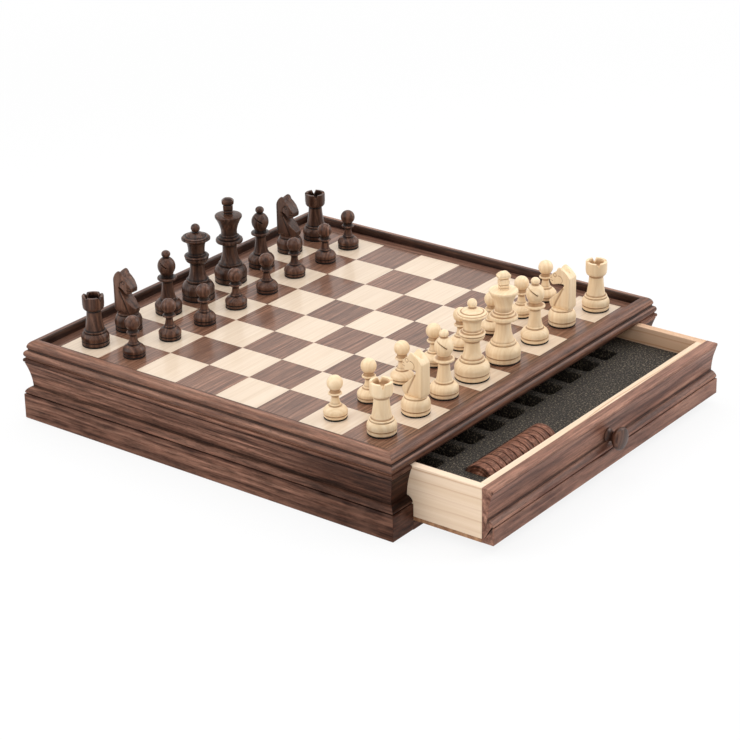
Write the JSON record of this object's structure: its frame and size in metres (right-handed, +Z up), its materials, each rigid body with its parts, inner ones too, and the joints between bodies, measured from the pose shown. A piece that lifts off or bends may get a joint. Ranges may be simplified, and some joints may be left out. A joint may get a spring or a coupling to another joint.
{
  "type": "chess box with drawers",
  "caption": "Low moulded wooden game box with an inlaid board on top, a foam-lined drawer in each of two opposite sides, and turned chess pieces standing on the board.",
  "frame": {"origin": "centre of the case's underside, on the surface it stands on", "axes": "+Z up; +Y from the white side to the black side, along the ranks; +X along the files from a to h; the front drawer opens towards -Y"},
  "size_m": [0.381, 0.4746, 0.1395],
  "materials": {
    "walnut": "satin lacquer",
    "walnut_face": "satin lacquer",
    "walnut_veneer": "satin lacquer",
    "maple_veneer": "satin lacquer",
    "walnut_dark": "satin lacquer",
    "plywood": "plain",
    "pine": "plain",
    "foam": "open-cell foam",
    "draughts_dark": "satin lacquer",
    "draughts_light": "satin lacquer",
    "boxwood": "satin lacquer",
    "stained_walnut": "satin lacquer"
  },
  "bodies": {
    "case": {"base_panel": "plywood", "left_side_rail": "walnut", "right_side_rail": "walnut", "bottom_rails": "walnut", "corner_stiles": "walnut", "top_frame": "walnut", "drawer_guides": "pine", "centre_divider": "pine", "playing_board": "plywood", "border_veneer": "walnut_veneer", "light_squares": "maple_veneer", "dark_squares": "walnut_veneer"},
    "front_drawer": {"front_drawer_face": "walnut_face", "front_drawer_inner_front": "pine", "front_drawer_sides": "pine", "front_drawer_back": "pine", "front_drawer_bottom": "plywood", "front_drawer_knob": "walnut_dark", "front_drawer_foam": "foam", "front_drawer_draughts": "draughts_dark"},
    "rear_drawer": {"rear_drawer_face": "walnut_face", "rear_drawer_inner_front": "pine", "rear_drawer_sides": "pine", "rear_drawer_back": "pine", "rear_drawer_bottom": "plywood", "rear_drawer_knob": "walnut_dark", "rear_drawer_foam": "foam", "rear_drawer_draughts": "draughts_light"},
    "white_rook_a1": {"white_rook_a1": "boxwood"},
    "white_knight_b1": {"white_knight_b1": "boxwood"},
    "white_bishop_c1": {"white_bishop_c1": "boxwood"},
    "white_queen_d1": {"white_queen_d1": "boxwood"},
    "white_king_e1": {"white_king_e1": "boxwood"},
    "white_bishop_f1": {"white_bishop_f1": "boxwood"},
    "white_knight_g1": {"white_knight_g1": "boxwood"},
    "white_rook_h1": {"white_rook_h1": "boxwood"},
    "white_pawn_a2": {"white_pawn_a2": "boxwood"},
    "white_pawn_b2": {"white_pawn_b2": "boxwood"},
    "white_pawn_c2": {"white_pawn_c2": "boxwood"},
    "white_pawn_d2": {"white_pawn_d2": "boxwood"},
    "white_pawn_e2": {"white_pawn_e2": "boxwood"},
    "white_pawn_f2": {"white_pawn_f2": "boxwood"},
    "white_pawn_g2": {"white_pawn_g2": "boxwood"},
    "white_pawn_h2": {"white_pawn_h2": "boxwood"},
    "black_rook_a8": {"black_rook_a8": "stained_walnut"},
    "black_knight_b8": {"black_knight_b8": "stained_walnut"},
    "black_bishop_c8": {"black_bishop_c8": "stained_walnut"},
    "black_queen_d8": {"black_queen_d8": "stained_walnut"},
    "black_king_e8": {"black_king_e8": "stained_walnut"},
    "black_bishop_f8": {"black_bishop_f8": "stained_walnut"},
    "black_knight_g8": {"black_knight_g8": "stained_walnut"},
    "black_rook_h8": {"black_rook_h8": "stained_walnut"},
    "black_pawn_a7": {"black_pawn_a7": "stained_walnut"},
    "black_pawn_b7": {"black_pawn_b7": "stained_walnut"},
    "black_pawn_c7": {"black_pawn_c7": "stained_walnut"},
    "black_pawn_d7": {"black_pawn_d7": "stained_walnut"},
    "black_pawn_e7": {"black_pawn_e7": "stained_walnut"},
    "black_pawn_f7": {"black_pawn_f7": "stained_walnut"},
    "black_pawn_g7": {"black_pawn_g7": "stained_walnut"},
    "black_pawn_h7": {"black_pawn_h7": "stained_walnut"}
  },
  "joints": [
    {"name": "drawer_front_slide", "type": "slide", "parent": "case", "child": "front_drawer", "axis": [0, -1, 0], "range_m": [-0.073, 0.047]},
    {"name": "drawer_rear_slide", "type": "slide", "parent": "case", "child": "rear_drawer", "axis": [0, 1, 0], "range_m": [0, 0.12]},
    {"name": "lift_white_rook_a1", "type": "slide", "parent": "case", "child": "white_rook_a1", "axis": [0, 0, 1], "range_m": [0, 0.09]},
    {"name": "lift_white_knight_b1", "type": "slide", "parent": "case", "child": "white_knight_b1", "axis": [0, 0, 1], "range_m": [0, 0.09]},
    {"name": "lift_white_bishop_c1", "type": "slide", "parent": "case", "child": "white_bishop_c1", "axis": [0, 0, 1], "range_m": [0, 0.09]},
    {"name": "lift_white_queen_d1", "type": "slide", "parent": "case", "child": "white_queen_d1", "axis": [0, 0, 1], "range_m": [0, 0.09]},
    {"name": "lift_white_king_e1", "type": "slide", "parent": "case", "child": "white_king_e1", "axis": [0, 0, 1], "range_m": [0, 0.09]},
    {"name": "lift_white_bishop_f1", "type": "slide", "parent": "case", "child": "white_bishop_f1", "axis": [0, 0, 1], "range_m": [0, 0.09]},
    {"name": "lift_white_knight_g1", "type": "slide", "parent": "case", "child": "white_knight_g1", "axis": [0, 0, 1], "range_m": [0, 0.09]},
    {"name": "lift_white_rook_h1", "type": "slide", "parent": "case", "child": "white_rook_h1", "axis": [0, 0, 1], "range_m": [0, 0.09]},
    {"name": "lift_white_pawn_a2", "type": "slide", "parent": "case", "child": "white_pawn_a2", "axis": [0, 0, 1], "range_m": [0, 0.09]},
    {"name": "lift_white_pawn_b2", "type": "slide", "parent": "case", "child": "white_pawn_b2", "axis": [0, 0, 1], "range_m": [0, 0.09]},
    {"name": "lift_white_pawn_c2", "type": "slide", "parent": "case", "child": "white_pawn_c2", "axis": [0, 0, 1], "range_m": [0, 0.09]},
    {"name": "lift_white_pawn_d2", "type": "slide", "parent": "case", "child": "white_pawn_d2", "axis": [0, 0, 1], "range_m": [0, 0.09]},
    {"name": "lift_white_pawn_e2", "type": "slide", "parent": "case", "child": "white_pawn_e2", "axis": [0, 0, 1], "range_m": [0, 0.09]},
    {"name": "lift_white_pawn_f2", "type": "slide", "parent": "case", "child": "white_pawn_f2", "axis": [0, 0, 1], "range_m": [0, 0.09]},
    {"name": "lift_white_pawn_g2", "type": "slide", "parent": "case", "child": "white_pawn_g2", "axis": [0, 0, 1], "range_m": [0, 0.09]},
    {"name": "lift_white_pawn_h2", "type": "slide", "parent": "case", "child": "white_pawn_h2", "axis": [0, 0, 1], "range_m": [0, 0.09]},
    {"name": "lift_black_rook_a8", "type": "slide", "parent": "case", "child": "black_rook_a8", "axis": [0, 0, 1], "range_m": [0, 0.09]},
    {"name": "lift_black_knight_b8", "type": "slide", "parent": "case", "child": "black_knight_b8", "axis": [0, 0, 1], "range_m": [0, 0.09]},
    {"name": "lift_black_bishop_c8", "type": "slide", "parent": "case", "child": "black_bishop_c8", "axis": [0, 0, 1], "range_m": [0, 0.09]},
    {"name": "lift_black_queen_d8", "type": "slide", "parent": "case", "child": "black_queen_d8", "axis": [0, 0, 1], "range_m": [0, 0.09]},
    {"name": "lift_black_king_e8", "type": "slide", "parent": "case", "child": "black_king_e8", "axis": [0, 0, 1], "range_m": [0, 0.09]},
    {"name": "lift_black_bishop_f8", "type": "slide", "parent": "case", "child": "black_bishop_f8", "axis": [0, 0, 1], "range_m": [0, 0.09]},
    {"name": "lift_black_knight_g8", "type": "slide", "parent": "case", "child": "black_knight_g8", "axis": [0, 0, 1], "range_m": [0, 0.09]},
    {"name": "lift_black_rook_h8", "type": "slide", "parent": "case", "child": "black_rook_h8", "axis": [0, 0, 1], "range_m": [0, 0.09]},
    {"name": "lift_black_pawn_a7", "type": "slide", "parent": "case", "child": "black_pawn_a7", "axis": [0, 0, 1], "range_m": [0, 0.09]},
    {"name": "lift_black_pawn_b7", "type": "slide", "parent": "case", "child": "black_pawn_b7", "axis": [0, 0, 1], "range_m": [0, 0.09]},
    {"name": "lift_black_pawn_c7", "type": "slide", "parent": "case", "child": "black_pawn_c7", "axis": [0, 0, 1], "range_m": [0, 0.09]},
    {"name": "lift_black_pawn_d7", "type": "slide", "parent": "case", "child": "black_pawn_d7", "axis": [0, 0, 1], "range_m": [0, 0.09]},
    {"name": "lift_black_pawn_e7", "type": "slide", "parent": "case", "child": "black_pawn_e7", "axis": [0, 0, 1], "range_m": [0, 0.09]},
    {"name": "lift_black_pawn_f7", "type": "slide", "parent": "case", "child": "black_pawn_f7", "axis": [0, 0, 1], "range_m": [0, 0.09]},
    {"name": "lift_black_pawn_g7", "type": "slide", "parent": "case", "child": "black_pawn_g7", "axis": [0, 0, 1], "range_m": [0, 0.09]},
    {"name": "lift_black_pawn_h7", "type": "slide", "parent": "case", "child": "black_pawn_h7", "axis": [0, 0, 1], "range_m": [0, 0.09]}
  ]
}
